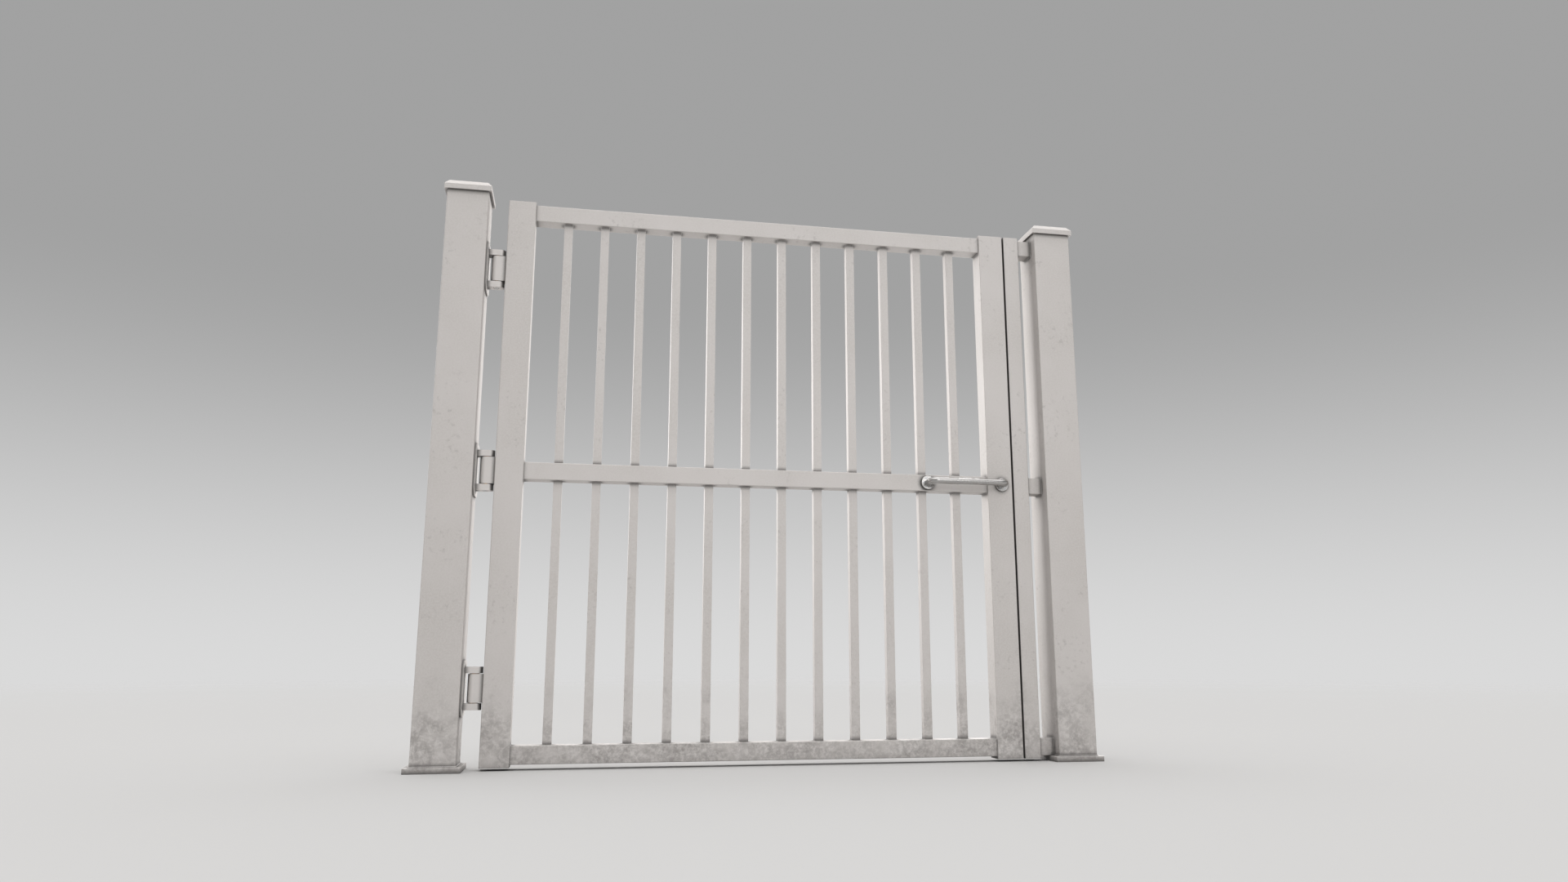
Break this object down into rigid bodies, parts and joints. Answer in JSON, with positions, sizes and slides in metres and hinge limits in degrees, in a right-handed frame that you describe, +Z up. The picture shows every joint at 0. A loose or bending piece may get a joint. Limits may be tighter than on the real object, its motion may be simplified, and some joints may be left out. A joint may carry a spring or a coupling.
{
  "type": "livestock panel gate",
  "caption": "Hinged steel yard gate of upright square bars between two capped square posts, with pin hinges, a keep post and a D pull handle.",
  "frame": {"origin": "centre of the hinge post's foot, on the ground", "axes": "+X along the gate towards the latch post, +Y away from the handle side, +Z up"},
  "size_m": [1.992, 0.16, 1.689],
  "materials": {
    "galvanised_steel": "pale, dull galvanised steel, dusty and mottled near the ground",
    "stainless_steel": "satin stainless steel",
    "bronze": "machined bearing bronze",
    "zinc_plated_screw": "bright zinc plating"
  },
  "bodies": {
    "frame": {"hinge_post": "galvanised_steel", "hinge_post_base_plate": "galvanised_steel", "hinge_post_cap": "galvanised_steel", "latch_post": "galvanised_steel", "latch_post_base_plate": "galvanised_steel", "latch_post_cap": "galvanised_steel", "keep_post": "galvanised_steel", "keep_post_end_plates": "galvanised_steel", "keep_spacer_top": "galvanised_steel", "keep_spacer_middle": "galvanised_steel", "keep_spacer_bottom": "galvanised_steel", "strike_plate": "stainless_steel", "strike_screws": "zinc_plated_screw", "hinge_bracket_top": "galvanised_steel", "hinge_pin_top": "stainless_steel", "hinge_screws_top": "zinc_plated_screw", "hinge_bracket_middle": "galvanised_steel", "hinge_pin_middle": "stainless_steel", "hinge_screws_middle": "zinc_plated_screw", "hinge_bracket_bottom": "galvanised_steel", "hinge_pin_bottom": "stainless_steel", "hinge_screws_bottom": "zinc_plated_screw"},
    "leaf": {"hinge_stile": "galvanised_steel", "hinge_stile_end_plates": "galvanised_steel", "lock_stile": "galvanised_steel", "lock_stile_end_plates": "galvanised_steel", "top_rail": "galvanised_steel", "mid_rail": "galvanised_steel", "bottom_rail": "galvanised_steel", "bar_01": "galvanised_steel", "bar_02": "galvanised_steel", "bar_03": "galvanised_steel", "bar_04": "galvanised_steel", "bar_05": "galvanised_steel", "bar_06": "galvanised_steel", "bar_07": "galvanised_steel", "bar_08": "galvanised_steel", "bar_09": "galvanised_steel", "bar_10": "galvanised_steel", "bar_11": "galvanised_steel", "bar_12": "galvanised_steel", "hinge_knuckle_top": "galvanised_steel", "hinge_bushes_top": "bronze", "hinge_knuckle_middle": "galvanised_steel", "hinge_bushes_middle": "bronze", "hinge_knuckle_bottom": "galvanised_steel", "hinge_bushes_bottom": "bronze", "pull_handle": "stainless_steel", "handle_rose_rail": "stainless_steel", "handle_rose_stile": "stainless_steel", "handle_packer": "stainless_steel", "handle_screws": "zinc_plated_screw", "catch_barrel": "stainless_steel", "catch_spring": "stainless_steel"},
    "catch_ball": {"catch_ball": "stainless_steel"}
  },
  "joints": [
    {"name": "gate_swing", "type": "hinge", "parent": "frame", "child": "leaf", "pos_m": [0.091, 0, 0.8285], "axis": [0, 0, 1], "range_deg": [-60, 60]},
    {"name": "catch_press", "type": "slide", "parent": "leaf", "child": "catch_ball", "axis": [-1, 0, 0], "range_m": [0, 0.004], "stiffness_N_per_m": 1500, "springref_m": -0.003, "deforming": ["catch_spring"]}
  ]
}
